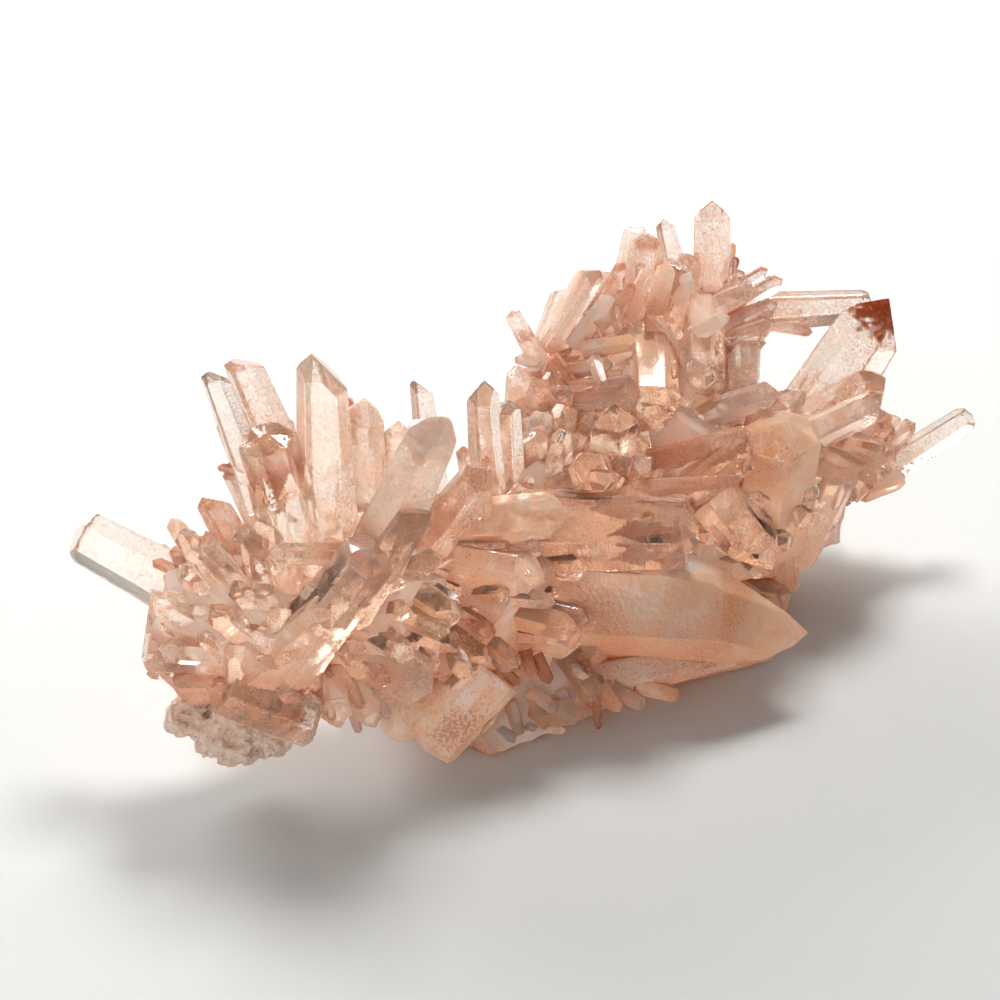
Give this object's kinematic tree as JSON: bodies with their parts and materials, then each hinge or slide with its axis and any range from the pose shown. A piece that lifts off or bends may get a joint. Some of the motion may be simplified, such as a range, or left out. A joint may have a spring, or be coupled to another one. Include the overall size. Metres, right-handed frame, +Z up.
{
  "type": "quartz crystal cluster",
  "caption": "Intergrown cluster of long pink-peach quartz crystals with a raised arm, a tall back tower and a low arm, lying on a flat broken face.",
  "frame": {"origin": "middle of the flat broken face that the cluster rests on, at floor height", "axes": "+Z up, +X along the cluster's length to the viewer's right, +Y away from the viewer"},
  "size_m": [0.1803, 0.1202, 0.0861],
  "materials": {
    "quartz": "clear to milky pink-peach natural crystal"
  },
  "bodies": {
    "root": {"quartz_cluster": "quartz"}
  },
  "joints": []
}
